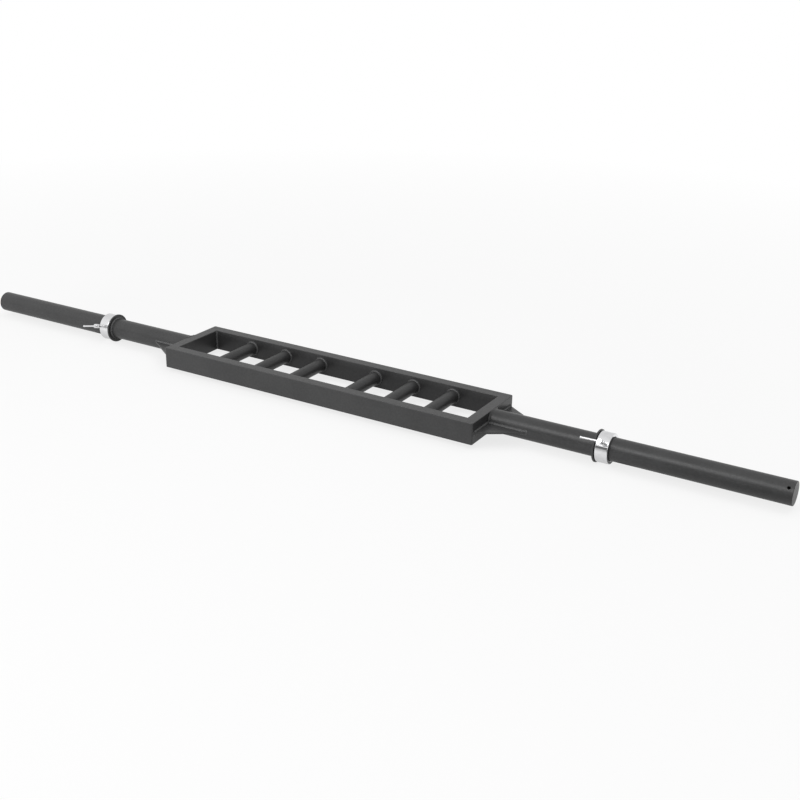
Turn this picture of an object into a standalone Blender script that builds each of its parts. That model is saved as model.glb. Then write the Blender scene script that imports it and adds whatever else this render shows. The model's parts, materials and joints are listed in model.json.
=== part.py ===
"""Multi-grip barbell with a welded frame, six cross handles and two loading sleeves.

The frame is four mitred rectangular tubes. A round sleeve is welded to each end of it
and braced by two gusset plates. Each sleeve has a welded stop and carries a clamp
collar, whose screw presses a pad on the sleeve and is turned by a sliding bar.

Sizes are in metres. X runs along the barbell, the front rail is at -Y, and Z is up.
The origin is on the ground, below the middle of the barbell.
"""
import math

import bmesh
import bpy
from mathutils import Matrix, Vector

# Gap left between pieces that touch or are welded to each other
SEAT_GAP = 0.0003
# Points closer than this are one point
MERGE_DISTANCE = 0.000001

# Loading sleeves
BAR_LENGTH = 2.134
SLEEVE_DIAMETER = 0.050
SLEEVE_WALL = 0.0045
SLEEVE_EDGE = 0.001
SLEEVE_WELD_LEG = 0.004
SLEEVE_WELD_CROWN = 0.0006
PLUG_THICKNESS = 0.005
PLUG_EDGE = 0.0006

# Cross hole near the end of the right sleeve
TIE_HOLE_DIAMETER = 0.0065
TIE_HOLE_FROM_END = 0.0105
TIE_HOLE_ANGLE = math.radians(44)

# Frame tubes
FRAME_LENGTH = 0.840
FRAME_WIDTH = 0.191
TUBE_HEIGHT = 0.050
TUBE_WIDTH = 0.025
TUBE_WALL = 0.0025
TUBE_CORNER_RADIUS = 0.003
CORNER_WELD_LEG = 0.004

# Cross handles, counted outwards from the middle of the barbell
HANDLE_DIAMETER = 0.030
HANDLE_WALL = 0.003
FIRST_HANDLE_OFFSET = 0.077
HANDLE_SPACING = 0.103
HANDLES_PER_SIDE = 3
HANDLE_WELD_LEG = 0.004

# Gusset plates between the sleeves and the frame
GUSSET_THICKNESS = 0.004
GUSSET_LENGTH = 0.090
GUSSET_CORNER_MARGIN = 0.0095
GUSSET_NOSE = 0.002
GUSSET_WELD_LEG = 0.004
GUSSET_WELD_RUNOUT = 0.004
GUSSET_COPE_MARGIN = 0.0008

# Stops that the weight plates rest against
STOP_FACE_FROM_CENTRE = 0.6663
STOP_RIM_HEIGHT = 0.010
STOP_THICKNESS = 0.004
STOP_EDGE_RADIUS = 0.001
STOP_WELD_LEG = 0.004

# Clamp collars
COLLAR_STANDOFF = 0.0008
COLLAR_CLEARANCE = 0.0008
COLLAR_WALL = 0.0072
COLLAR_WIDTH = 0.0284
COLLAR_EDGE_RADIUS = 0.0018
COLLAR_BORE_EDGE = 0.0008
SCREW_EDGE_DISTANCE = 0.0080

# Clamp screw, its pad and the bar that turns it
SCREW_DIAMETER = 0.008
SCREW_EDGE = 0.0007
SCREW_STEM_HEIGHT = 0.0252
HEAD_DIAMETER = 0.0105
HEAD_LENGTH = 0.0135
HEAD_EDGE = 0.0012
PAD_DIAMETER = 0.006
PAD_LENGTH = 0.0025
PAD_EDGE = 0.0004
TURN_BAR_DIAMETER = 0.0038
TURN_BAR_REACH = 0.0440
TURN_BAR_END_DIAMETER = 0.0048
TURN_BAR_END_LENGTH = 0.0026
TURN_BAR_END_EDGE = 0.0006

# How far each collar's screw leans up from the front, and how far its turning bar is swung
SCREW_ANGLE = {"left": math.radians(18.6), "right": math.radians(33.3)}
TURN_BAR_ANGLE = {"left": math.radians(10.6), "right": math.radians(1)}

# Facets of the round pieces
SLEEVE_STEPS = 48
HANDLE_STEPS = 32
COLLAR_STEPS = 48
SCREW_STEPS = 24
WELD_STEPS = 24
TURN_BAR_STEPS = 16
ARC_STEPS = 3

# Sizes that follow from the ones above
SLEEVE_RADIUS = SLEEVE_DIAMETER / 2
SLEEVE_LENGTH = (BAR_LENGTH - FRAME_LENGTH) / 2
SLEEVE_BORE_RADIUS = SLEEVE_RADIUS - SLEEVE_WALL
SLEEVE_SEAT_RADIUS = SLEEVE_RADIUS + SEAT_GAP
STOP_RADIUS = SLEEVE_SEAT_RADIUS + STOP_RIM_HEIGHT
COLLAR_BORE_RADIUS = SLEEVE_RADIUS + COLLAR_CLEARANCE
COLLAR_RADIUS = COLLAR_BORE_RADIUS + COLLAR_WALL
SCREW_RADIUS = SCREW_DIAMETER / 2
SCREW_PLACE = COLLAR_WIDTH - SCREW_EDGE_DISTANCE
PAD_TOP = SLEEVE_SEAT_RADIUS + PAD_LENGTH
HEAD_RADIUS = HEAD_DIAMETER / 2
HEAD_BASE = COLLAR_RADIUS + SCREW_STEM_HEIGHT
HEAD_TOP = HEAD_BASE + HEAD_LENGTH
HEAD_MIDDLE = (HEAD_BASE + HEAD_TOP) / 2
# A facet of each stop lies on the ground, unless the frame is the taller one
AXIS_HEIGHT = max(STOP_RADIUS * math.cos(math.pi / SLEEVE_STEPS), TUBE_HEIGHT / 2)


def clear_scene():
    """Remove everything that is in the scene."""
    for item in list(bpy.data.objects):
        bpy.data.objects.remove(item, do_unlink=True)


def make_material(name, colour, roughness, metallic):
    """A plain surface with one colour, roughness and metallic value."""
    material = bpy.data.materials.new(name)
    material.use_nodes = True
    surface = material.node_tree.nodes["Principled BSDF"]
    surface.inputs["Base Color"].default_value = (*colour, 1.0)
    surface.inputs["Roughness"].default_value = roughness
    surface.inputs["Metallic"].default_value = metallic
    return material


def mesh_from(name, bm):
    """Close a bmesh into a mesh with outward faces and smooth round sides."""
    bmesh.ops.remove_doubles(bm, verts=bm.verts, dist=MERGE_DISTANCE)
    bmesh.ops.recalc_face_normals(bm, faces=bm.faces)
    mesh = bpy.data.meshes.new(name)
    bm.to_mesh(mesh)
    bm.free()
    mesh.shade_smooth()
    mesh.set_sharp_from_angle(angle=math.radians(32))
    return mesh


def place(name, mesh, material, matrix, parent=None):
    """Add an object for a mesh, with its place as a matrix."""
    piece = bpy.data.objects.new(name, mesh)
    bpy.context.scene.collection.objects.link(piece)
    piece.data.materials.clear()
    piece.data.materials.append(material)
    piece.parent = parent
    piece.matrix_basis = matrix
    return piece


def place_axis(name, matrix):
    """Add an empty that pieces are parented to."""
    axis = bpy.data.objects.new(name, None)
    bpy.context.scene.collection.objects.link(axis)
    axis.matrix_basis = matrix
    return axis


def combine(piece, operation, tool_name, mesh, matrix):
    """Cut a tool's mesh out of a piece, or join it on, with a Boolean modifier."""
    tool = place(tool_name, mesh, piece.data.materials[0], matrix, piece)
    tool.hide_render = True
    tool.display_type = "WIRE"
    modifier = piece.modifiers.new(tool_name, "BOOLEAN")
    modifier.operation = operation
    modifier.object = tool


def shift(x, y=0.0, z=0.0):
    """Matrix that moves by x, y and z."""
    return Matrix.Translation((x, y, z))


def turn(angle, axis):
    """Matrix that turns by an angle round one axis."""
    return Matrix.Rotation(angle, 4, axis)


def arc(along, across, radius, start, end, steps=ARC_STEPS):
    """Points of an arc round (along, across), from one angle in degrees to another."""
    points = []
    for step in range(steps + 1):
        angle = math.radians(start + (end - start) * step / steps)
        points.append((along + radius * math.cos(angle), across + radius * math.sin(angle)))
    return points


def turned(name, profile, steps, closed=True, first_angle=0.0):
    """Turn a profile of (along, radius) points round the X axis."""
    bm = bmesh.new()
    lean = Matrix.Rotation(first_angle, 3, "X")
    points = [bm.verts.new(lean @ Vector((along, 0.0, radius))) for along, radius in profile]
    edges = [bm.edges.new(pair) for pair in zip(points, points[1:])]
    if closed:
        edges.append(bm.edges.new((points[-1], points[0])))
    bmesh.ops.spin(bm, geom=points + edges, cent=(0, 0, 0), axis=(1, 0, 0),
                   angle=2 * math.pi, steps=steps, use_merge=True, use_duplicate=False)
    return mesh_from(name, bm)


def rod(name, low, high, radius, steps):
    """A plain round rod along the X axis."""
    return turned(name, [(low, 0.0), (low, radius), (high, radius), (high, 0.0)], steps, closed=False)


def prism(name, outline, lift):
    """Extrude a flat outline of points by a vector."""
    bm = bmesh.new()
    face = bm.faces.new([bm.verts.new(point) for point in outline])
    grown = bmesh.ops.extrude_face_region(bm, geom=[face])
    moved = [item for item in grown["geom"] if isinstance(item, bmesh.types.BMVert)]
    bmesh.ops.translate(bm, verts=moved, vec=lift)
    return mesh_from(name, bm)


def side_place(side, distance):
    """Place on the barbell's axis at a distance from its middle, with X towards that side's end."""
    heading = turn(0.0 if side == "right" else math.pi, "Z")
    return shift(0.0, 0.0, AXIS_HEIGHT) @ heading @ shift(distance)


def tube_section(inset, radius):
    """Rounded rectangle of a frame tube's section, as (depth, height) points."""
    near = inset + radius
    far = TUBE_WIDTH - near
    high = TUBE_HEIGHT / 2 - near
    points = []
    for depth, height, start in ((far, high, 0), (near, high, 90), (near, -high, 180), (far, -high, 270)):
        points += arc(depth, height, radius, start, start + 90)
    return points


def join_rings(bm, ring, following):
    """Faces from each side of one closed ring of vertices to the same side of the next."""
    for index in range(len(ring)):
        bm.faces.new((ring[index - 1], ring[index], following[index], following[index - 1]))


def mitred_tube(name, length):
    """A rectangular tube along X with its outer side at Y = 0 and both ends mitred inwards."""
    bm = bmesh.new()
    # Each of two tubes that meet at a mitre gives half of the gap between them
    half_length = length / 2 - SEAT_GAP / math.sqrt(2)
    bore_corner = max(TUBE_CORNER_RADIUS - TUBE_WALL, SEAT_GAP)
    outer, inner = tube_section(0.0, TUBE_CORNER_RADIUS), tube_section(TUBE_WALL, bore_corner)
    rings = []
    for section, end in ((outer, -1), (outer, 1), (inner, 1), (inner, -1)):
        rings.append([bm.verts.new((end * (half_length - depth), depth, height)) for depth, height in section])
    for ring, following in zip(rings, rings[1:] + rings[:1]):
        join_rings(bm, ring, following)
    return mesh_from(name, bm)


def build_frame(coating):
    """Front and back rails and the two end members, mitred at the corners."""
    rail = mitred_tube("rail_tube", FRAME_LENGTH)
    end_member = mitred_tube("end_member_tube", FRAME_WIDTH)
    across, along = FRAME_WIDTH / 2, FRAME_LENGTH / 2
    tubes = (("front_rail", rail, across, 0), ("right_end_member", end_member, along, 90),
             ("back_rail", rail, across, 180), ("left_end_member", end_member, along, 270))
    for name, mesh, reach, heading in tubes:
        centre = shift(0.0, 0.0, AXIS_HEIGHT) @ turn(math.radians(heading), "Z")
        place(name, mesh, coating, centre @ shift(0.0, -reach))


def build_corner_welds(coating):
    """One upright fillet weld in each inner corner of the frame."""
    low = TUBE_CORNER_RADIUS - TUBE_HEIGHT / 2
    section = [(SEAT_GAP, SEAT_GAP)] + arc(SEAT_GAP, SEAT_GAP, CORNER_WELD_LEG, 0, 90)
    bead = prism("corner_weld_bead", [(x, y, low) for x, y in section], (0, 0, -2 * low))
    inner_x = FRAME_LENGTH / 2 - TUBE_WIDTH
    inner_y = FRAME_WIDTH / 2 - TUBE_WIDTH
    corners = (("front_left", -inner_x, -inner_y, 0), ("front_right", inner_x, -inner_y, 90),
               ("back_right", inner_x, inner_y, 180), ("back_left", -inner_x, inner_y, 270))
    for corner, x, y, heading in corners:
        corner_place = shift(x, y, AXIS_HEIGHT) @ turn(math.radians(heading), "Z")
        place(f"{corner}_corner_weld", bead, coating, corner_place)


def handle_positions():
    """Places of the cross handles along the barbell, from left to right."""
    offsets = [FIRST_HANDLE_OFFSET + index * HANDLE_SPACING for index in range(HANDLES_PER_SIDE)]
    return [-offset for offset in reversed(offsets)] + offsets


def build_handles(coating):
    """Round cross handles between the rails, with a ring weld round both ends of each."""
    radius = HANDLE_DIAMETER / 2
    half = FRAME_WIDTH / 2 - TUBE_WIDTH - SEAT_GAP
    tube = [(-half, radius), (half, radius), (half, radius - HANDLE_WALL), (-half, radius - HANDLE_WALL)]
    handle = turned("handle_tube", tube, HANDLE_STEPS)
    seat = radius + SEAT_GAP
    ring = turned("handle_weld_ring", [(-half, seat), *arc(-half, seat, HANDLE_WELD_LEG, 90, 0)], WELD_STEPS)
    for number, x in enumerate(handle_positions(), start=1):
        centre = shift(x, 0.0, AXIS_HEIGHT)
        place(f"handle_{number}", handle, coating, centre @ turn(math.pi / 2, "Z"))
        place(f"handle_{number}_front_weld", ring, coating, centre @ turn(math.pi / 2, "Z"))
        place(f"handle_{number}_back_weld", ring, coating, centre @ turn(-math.pi / 2, "Z"))


def sleeve_mesh():
    """Round tube from the frame's end to the end of the barbell."""
    profile = [(SEAT_GAP, SLEEVE_RADIUS), (SLEEVE_LENGTH - SLEEVE_EDGE, SLEEVE_RADIUS),
               (SLEEVE_LENGTH, SLEEVE_RADIUS - SLEEVE_EDGE), (SLEEVE_LENGTH, SLEEVE_BORE_RADIUS),
               (SEAT_GAP, SLEEVE_BORE_RADIUS)]
    return turned("sleeve_tube", profile, SLEEVE_STEPS)


def sleeve_weld_mesh():
    """Hollow fillet weld round a sleeve's foot, ground down almost level with the frame's top and bottom."""
    leg, seat = SLEEVE_WELD_LEG, SLEEVE_SEAT_RADIUS
    mesh = turned("sleeve_weld_ring", [(SEAT_GAP, seat), *arc(SEAT_GAP + leg, seat + leg, leg, 180, 270)],
                  SLEEVE_STEPS)
    level = max(TUBE_HEIGHT / 2, seat) + SLEEVE_WELD_CROWN
    for point in mesh.vertices:
        point.co.z = min(max(point.co.z, -level), level)
    return mesh


def end_plug_mesh():
    """Disc that closes a sleeve's end, with its outer face at X = 0."""
    radius = SLEEVE_BORE_RADIUS - SEAT_GAP
    profile = [(-PLUG_THICKNESS, 0.0), (-PLUG_THICKNESS, radius), (-PLUG_EDGE, radius),
               (0.0, radius - PLUG_EDGE), (0.0, 0.0)]
    return turned("end_plug_disc", profile, SLEEVE_STEPS, closed=False)


def build_sleeves(coating, cap_coating):
    """Both sleeves with their foot welds and end plugs, and the cross hole in the right one."""
    tube, weld, plug = sleeve_mesh(), sleeve_weld_mesh(), end_plug_mesh()
    for side in ("left", "right"):
        foot = side_place(side, FRAME_LENGTH / 2)
        sleeve = place(f"{side}_sleeve", tube.copy(), coating, foot)
        place(f"{side}_sleeve_weld", weld, coating, foot)
        place(f"{side}_end_plug", plug, cap_coating, side_place(side, BAR_LENGTH / 2))
    drill = rod("tie_hole_drill", SLEEVE_BORE_RADIUS - SLEEVE_WALL, SLEEVE_RADIUS + SLEEVE_WALL,
                TIE_HOLE_DIAMETER / 2, WELD_STEPS)
    across = turn(math.pi / 2 - TIE_HOLE_ANGLE, "X") @ turn(-math.pi / 2, "Y")
    combine(sleeve, "DIFFERENCE", "tie_hole", drill, shift(SLEEVE_LENGTH - TIE_HOLE_FROM_END) @ across)


def weld_pair(edge, half_plate):
    """Section of the two fillet welds on both faces of a plate that ends at an edge."""
    upper = arc(edge, half_plate, GUSSET_WELD_LEG, 90, 0)
    return upper + [(across, -height) for across, height in reversed(upper)]


def gusset_meshes():
    """The plate and its two weld beads, as they lie behind the right sleeve."""
    half_plate = GUSSET_THICKNESS / 2
    cope = SLEEVE_WELD_LEG * math.sqrt(2) + GUSSET_COPE_MARGIN
    sleeve_side, frame_end = SLEEVE_SEAT_RADIUS, FRAME_WIDTH / 2 - GUSSET_CORNER_MARGIN
    outline = [(SEAT_GAP, sleeve_side + cope), (SEAT_GAP + cope, sleeve_side), (GUSSET_LENGTH, sleeve_side),
               (GUSSET_LENGTH, sleeve_side + GUSSET_NOSE), (SEAT_GAP + GUSSET_NOSE, frame_end),
               (SEAT_GAP, frame_end)]
    plate = prism("gusset_plate", [(x, y, -half_plate) for x, y in outline], (0, 0, GUSSET_THICKNESS))
    plate.shade_flat()
    start = sleeve_side + cope
    frame_bead = prism("frame_bead", [(x, start, z) for x, z in weld_pair(SEAT_GAP, half_plate)],
                       (0, frame_end - start, 0))
    lap = math.degrees(math.asin((half_plate + GUSSET_WELD_LEG) / sleeve_side))
    start = SEAT_GAP + cope
    section = weld_pair(sleeve_side, half_plate) + arc(0.0, 0.0, sleeve_side, -lap, lap)
    sleeve_bead = prism("sleeve_bead", [(start, y, z) for y, z in section],
                        (GUSSET_LENGTH + GUSSET_WELD_RUNOUT - start, 0, 0))
    return plate, frame_bead, sleeve_bead


def build_gussets(coating):
    """Four gusset plates, one in front of and one behind each sleeve's foot."""
    plate, frame_bead, sleeve_bead = gusset_meshes()
    for side, face, flip in (("right", "back", 0.0), ("right", "front", math.pi),
                             ("left", "front", 0.0), ("left", "back", math.pi)):
        name = f"{side}_{face}_gusset"
        gusset = place(name, plate.copy(), coating, side_place(side, FRAME_LENGTH / 2) @ turn(flip, "X"))
        combine(gusset, "UNION", f"{name}_frame_bead", frame_bead, Matrix())
        combine(gusset, "UNION", f"{name}_sleeve_bead", sleeve_bead, Matrix())


def build_stops(coating):
    """Ring on each sleeve that stops the plates, with its weld on the side of the frame."""
    crown = STOP_RADIUS - STOP_EDGE_RADIUS
    profile = [(0.0, SLEEVE_SEAT_RADIUS), *arc(-STOP_EDGE_RADIUS, crown, STOP_EDGE_RADIUS, 0, 90)]
    profile += arc(STOP_EDGE_RADIUS - STOP_THICKNESS, crown, STOP_EDGE_RADIUS, 90, 180)
    profile += arc(-STOP_THICKNESS, SLEEVE_SEAT_RADIUS, STOP_WELD_LEG, 90, 180)
    ring = turned("stop_ring", profile, SLEEVE_STEPS, first_angle=math.pi / SLEEVE_STEPS)
    for side in ("left", "right"):
        place(f"{side}_stop", ring, coating, side_place(side, STOP_FACE_FROM_CENTRE))


def collar_mesh():
    """Thick ring of a collar, from its left face along X, with rounded outer edges."""
    crown = COLLAR_RADIUS - COLLAR_EDGE_RADIUS
    far = COLLAR_WIDTH
    profile = arc(COLLAR_EDGE_RADIUS, crown, COLLAR_EDGE_RADIUS, 180, 90)
    profile += arc(far - COLLAR_EDGE_RADIUS, crown, COLLAR_EDGE_RADIUS, 90, 0)
    profile += [(far, COLLAR_BORE_RADIUS + COLLAR_BORE_EDGE), (far - COLLAR_BORE_EDGE, COLLAR_BORE_RADIUS),
                (COLLAR_BORE_EDGE, COLLAR_BORE_RADIUS), (0.0, COLLAR_BORE_RADIUS + COLLAR_BORE_EDGE)]
    return turned("collar_ring", profile, COLLAR_STEPS)


def pad_mesh():
    """Pad that the screw presses on the sleeve."""
    low, radius = SLEEVE_SEAT_RADIUS, PAD_DIAMETER / 2
    profile = [(low, 0.0), (low, radius - PAD_EDGE), (low + PAD_EDGE, radius), (PAD_TOP, radius),
               (PAD_TOP, 0.0)]
    return turned("pad_plug", profile, TURN_BAR_STEPS, closed=False)


def screw_mesh():
    """Clamp screw from its foot on the pad to its domed head."""
    low = PAD_TOP + SEAT_GAP
    stem = [(low, 0.0), (low, SCREW_RADIUS - SCREW_EDGE), (low + SCREW_EDGE, SCREW_RADIUS),
            (HEAD_BASE, SCREW_RADIUS)]
    head = [(HEAD_BASE, HEAD_RADIUS - SCREW_EDGE), (HEAD_BASE + SCREW_EDGE, HEAD_RADIUS)]
    head += arc(HEAD_TOP - HEAD_EDGE, HEAD_RADIUS - HEAD_EDGE, HEAD_EDGE, 90, 0)
    return turned("screw_stem", stem + head + [(HEAD_TOP, 0.0)], SCREW_STEPS, closed=False)


def turn_bar_mesh():
    """Turning bar along X through the screw's head, with an upset end that rests on the head."""
    rod_radius, radius = TURN_BAR_DIAMETER / 2, TURN_BAR_END_DIAMETER / 2
    edge, length = TURN_BAR_END_EDGE, TURN_BAR_END_LENGTH
    near = -(HEAD_RADIUS + SEAT_GAP + length)
    far = TURN_BAR_REACH
    profile = [(near, 0.0), (near, radius - edge), (near + edge, radius), (near + length - edge, radius),
               (near + length, rod_radius), (far - length, rod_radius), (far - length + edge, radius),
               (far - edge, radius), (far, radius - edge), (far, 0.0)]
    return turned("turn_bar_rod", profile, TURN_BAR_STEPS, closed=False)


def build_collar(side, left_face, chrome, brass):
    """Clamp collar with its left face at a place along the barbell; both collars face the same way."""
    lean = turn(math.pi / 2 - SCREW_ANGLE[side], "X")
    axis = place_axis(f"{side}_collar_axis", shift(left_face, 0.0, AXIS_HEIGHT) @ lean)
    screw_place = shift(SCREW_PLACE) @ turn(-math.pi / 2, "Y")
    bar_place = shift(SCREW_PLACE, 0.0, HEAD_MIDDLE) @ turn(math.pi + TURN_BAR_ANGLE[side], "Z")
    collar = place(f"{side}_collar", collar_mesh(), chrome, Matrix(), axis)
    screw_hole = rod("screw_hole", SLEEVE_RADIUS - COLLAR_WALL, COLLAR_RADIUS + COLLAR_WALL,
                     SCREW_RADIUS + SEAT_GAP, SCREW_STEPS)
    combine(collar, "DIFFERENCE", f"{side}_screw_hole", screw_hole, screw_place)
    place(f"{side}_clamp_pad", pad_mesh(), brass, screw_place, axis)
    screw = place(f"{side}_clamp_screw", screw_mesh(), chrome, screw_place, axis)
    bar_hole = rod("bar_hole", -HEAD_DIAMETER, HEAD_DIAMETER, TURN_BAR_DIAMETER / 2 + SEAT_GAP, SCREW_STEPS)
    combine(screw, "DIFFERENCE", f"{side}_bar_hole", bar_hole, screw_place.inverted() @ bar_place)
    place(f"{side}_turn_bar", turn_bar_mesh(), chrome, bar_place, axis)


def main():
    """Build the whole barbell."""
    clear_scene()
    coating = make_material("black_powder_coat", (0.060, 0.060, 0.062), 0.45, 0.0)
    cap_coating = make_material("end_plug_coat", (0.070, 0.070, 0.072), 0.5, 0.0)
    chrome = make_material("polished_chrome", (0.80, 0.80, 0.81), 0.08, 1.0)
    brass = make_material("brass", (0.70, 0.52, 0.25), 0.3, 1.0)
    build_frame(coating)
    build_corner_welds(coating)
    build_handles(coating)
    build_sleeves(coating, cap_coating)
    build_gussets(coating)
    build_stops(coating)
    inner_face = STOP_FACE_FROM_CENTRE + COLLAR_STANDOFF
    for side, left_face in (("left", -inner_face - COLLAR_WIDTH), ("right", inner_face)):
        build_collar(side, left_face, chrome, brass)


main()
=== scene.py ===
"""Looks of the multi-grip barbell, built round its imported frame.

Lengths are in metres. X runs along the barbell, the front rail is at -Y, Z is up and the
ground is Z = 0. Each sub-assembly of the barbell is a class, and so is each finish.
"""
import json
import logging
import math
from dataclasses import dataclass
from enum import Enum
from functools import cache, reduce
from typing import Any, Callable, Iterable, Sequence

import bmesh
import bpy
from bmesh.types import BMesh, BMVert
from bpy.types import Material, Mesh, Node, NodeSocket, NodeTree, Object
from mathutils import Matrix, Vector


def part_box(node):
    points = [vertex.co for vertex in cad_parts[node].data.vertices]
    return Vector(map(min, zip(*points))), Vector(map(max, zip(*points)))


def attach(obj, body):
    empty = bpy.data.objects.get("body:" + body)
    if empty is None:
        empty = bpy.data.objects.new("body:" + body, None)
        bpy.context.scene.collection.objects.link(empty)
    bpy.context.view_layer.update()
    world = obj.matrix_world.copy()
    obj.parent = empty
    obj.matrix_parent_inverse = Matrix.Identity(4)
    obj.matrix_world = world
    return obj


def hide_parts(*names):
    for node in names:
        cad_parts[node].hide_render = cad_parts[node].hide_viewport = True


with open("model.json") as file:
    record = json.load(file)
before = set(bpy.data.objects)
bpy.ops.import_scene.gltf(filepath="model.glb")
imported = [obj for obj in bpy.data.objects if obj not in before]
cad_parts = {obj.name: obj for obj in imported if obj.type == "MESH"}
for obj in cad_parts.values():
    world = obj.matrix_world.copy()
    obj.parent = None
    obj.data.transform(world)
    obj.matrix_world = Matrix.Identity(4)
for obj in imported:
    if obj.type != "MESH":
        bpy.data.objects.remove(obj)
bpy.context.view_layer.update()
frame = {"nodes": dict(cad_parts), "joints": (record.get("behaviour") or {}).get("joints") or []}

log = logging.getLogger("barbell")

Colour = tuple[float, float, float]
Profile = list[tuple[float, float]]

# Points closer than this are one point
MERGE_DISTANCE = 0.000002
# Edges sharper than this stay crisp
CRISP_ANGLE = math.radians(40)
# Width of the narrow faces kept beside rounded edges, so that flat faces shade flat
EDGE_MARGIN = 0.0012
# Radii of the outward bends that are rubbed fully and not at all
TIGHT_BEND, BROAD_BEND = 0.0025, 0.008
# A face narrower than this counts as this wide when bends are measured
LEAST_WIDTH = 0.0003
# Play that the clamp screw and its bar have in their holes
PLAY = 0.0003
# Radius of a thread's ridge, as a share of the pitch
RIDGE_SHARE = 0.48

X_AXIS, Y_AXIS, Z_AXIS = Matrix.Identity(3)


class Side(Enum):
    """The two halves of the barbell, with the direction of each along X."""

    LEFT = -1
    RIGHT = 1


class Slot(Enum):
    """Material slots of the record."""

    COAT = "powder_coat"
    PLUG = "end_plug"
    CHROME = "chrome"
    BRASS = "brass"


class NodeBuilder:
    """Adds nodes to one tree and joins them."""

    def __init__(self, tree: NodeTree) -> None:
        """Keep the tree that the nodes go into."""
        self.tree = tree

    def add(self, kind: str, inputs: dict[Any, Any] | None = None, **options: Any) -> Node:
        """Add one node.

        Args:
            kind: The node's type.
            inputs: Values or output sockets for its inputs, by name or place.
            options: Settings of the node itself.

        Returns:
            The new node.
        """
        node = self.tree.nodes.new(kind)
        for key, value in options.items():
            setattr(node, key, value)
        for key, value in (inputs or {}).items():
            self.feed(node.inputs[key], value)
        return node

    def feed(self, socket: NodeSocket, value: Any) -> None:
        """Join an output to a socket, or set the socket's value.

        Args:
            socket: The input socket.
            value: An output socket or a plain value.
        """
        if isinstance(value, NodeSocket):
            self.tree.links.new(value, socket)
        else:
            socket.default_value = value

    def math(self, operation: str, *values: Any) -> NodeSocket:
        """Result of a Math node for values or sockets."""
        return self.add("ShaderNodeMath", dict(enumerate(values)), operation=operation).outputs[0]

    def times(self, *factors: Any) -> NodeSocket:
        """Product of values or sockets."""
        return reduce(lambda product, factor: self.math("MULTIPLY", product, factor), factors)

    def rest(self, share: Any) -> NodeSocket:
        """What a share leaves of one."""
        return self.math("SUBTRACT", 1.0, share)

    def spread(self, value: Any, low: float, high: float, to_low: float = 0.0,
               to_high: float = 1.0) -> NodeSocket:
        """A value moved from one range to another and clamped there.

        Args:
            value: The value or socket.
            low: Start of the range it comes from.
            high: End of the range it comes from.
            to_low: Start of the range it goes to.
            to_high: End of the range it goes to.

        Returns:
            The output socket.
        """
        inputs = {"Value": value, "From Min": low, "From Max": high, "To Min": to_low, "To Max": to_high}
        return self.add("ShaderNodeMapRange", inputs).outputs["Result"]

    def pattern(self, size: Any, detail: float) -> NodeSocket:
        """Noise on the object's own coordinates.

        Args:
            size: Size of its features, or the socket that gives it.
            detail: Octaves of the noise.

        Returns:
            The noise's value socket.
        """
        place = self.add("ShaderNodeTexCoord").outputs["Object"]
        inputs = {"Vector": place, "Scale": self.math("DIVIDE", 1.0, size), "Detail": detail}
        return self.add("ShaderNodeTexNoise", inputs).outputs["Fac"]

    def blend(self, share: NodeSocket, *colours: NodeSocket | Colour) -> NodeSocket:
        """A colour between two others.

        Args:
            share: Share of the second colour.
            colours: The two colours or their sockets.

        Returns:
            The colour's socket.
        """
        first, second = (item if isinstance(item, NodeSocket) else (*item, 1.0) for item in colours)
        inputs = {"Factor": share, "A": first, "B": second}
        return self.add("ShaderNodeMix", inputs, data_type="RGBA").outputs["Result"]


def new_group(name: str, inputs: dict[str, float | str], outputs: Sequence[str],
              kind: str = "ShaderNodeTree") -> tuple[NodeBuilder, Any, Any]:
    """Start a node group with named sockets.

    Args:
        name: The group's name.
        inputs: Default of each number that goes in, or the socket type of what isn't a number.
        outputs: Names of what comes out: numbers, or meshes from a Geometry Nodes tree.
        kind: The tree's type.

    Returns:
        The builder, the sockets that bring the inputs and the sockets that take the outputs.
    """
    tree = bpy.data.node_groups.new(name, kind)
    number = "NodeSocketFloat"
    for label, default in inputs.items():
        socket_type = number if isinstance(default, float) else default
        socket = tree.interface.new_socket(name=label, in_out="INPUT", socket_type=socket_type)
        if socket_type == number:
            socket.default_value = default
    result = number if kind == "ShaderNodeTree" else "NodeSocketGeometry"
    for label in outputs:
        tree.interface.new_socket(name=label, in_out="OUTPUT", socket_type=result)
    nodes = NodeBuilder(tree)
    return nodes, nodes.add("NodeGroupInput").outputs, nodes.add("NodeGroupOutput").inputs


@cache
def grain_group() -> NodeTree:
    """Fine pebbled grain of a baked coat, with broad clouds and scattered flecks.

    Returns:
        The shader node group.
    """
    sizes = {"Grain Size": 0.001, "Cloud Size": 0.08, "Fleck Size": 0.002}
    nodes, given, made = new_group("coat_grain", sizes, ("Grain", "Cloud", "Fleck"))
    # Noise keeps close to its middle of 0.5, so that a narrow range of it is spread out
    nodes.feed(made["Grain"], nodes.pattern(given["Grain Size"], 2.0))
    nodes.feed(made["Cloud"], nodes.spread(nodes.pattern(given["Cloud Size"], 3.0), 0.35, 0.65))
    nodes.feed(made["Fleck"], nodes.spread(nodes.pattern(given["Fleck Size"], 4.0), 0.38, 0.64))
    return nodes.tree


@cache
def wear_group() -> NodeTree:
    """Rubbed places along rounded edges, read from the mesh attribute "rim".

    Returns:
        The shader node group.
    """
    nodes, given, made = new_group("edge_wear", {"Patch Size": 0.012, "Spread": 0.5}, ("Rubbed",))
    patches = nodes.math("ADD", nodes.pattern(given["Patch Size"], 4.0), 0.5)
    rim = nodes.add("ShaderNodeAttribute", attribute_name="rim").outputs["Fac"]
    shown = nodes.math("SUBTRACT", nodes.times(rim, patches), nodes.rest(given["Spread"]))
    nodes.feed(made["Rubbed"], nodes.spread(shown, 0.0, 0.4))
    return nodes.tree


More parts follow.
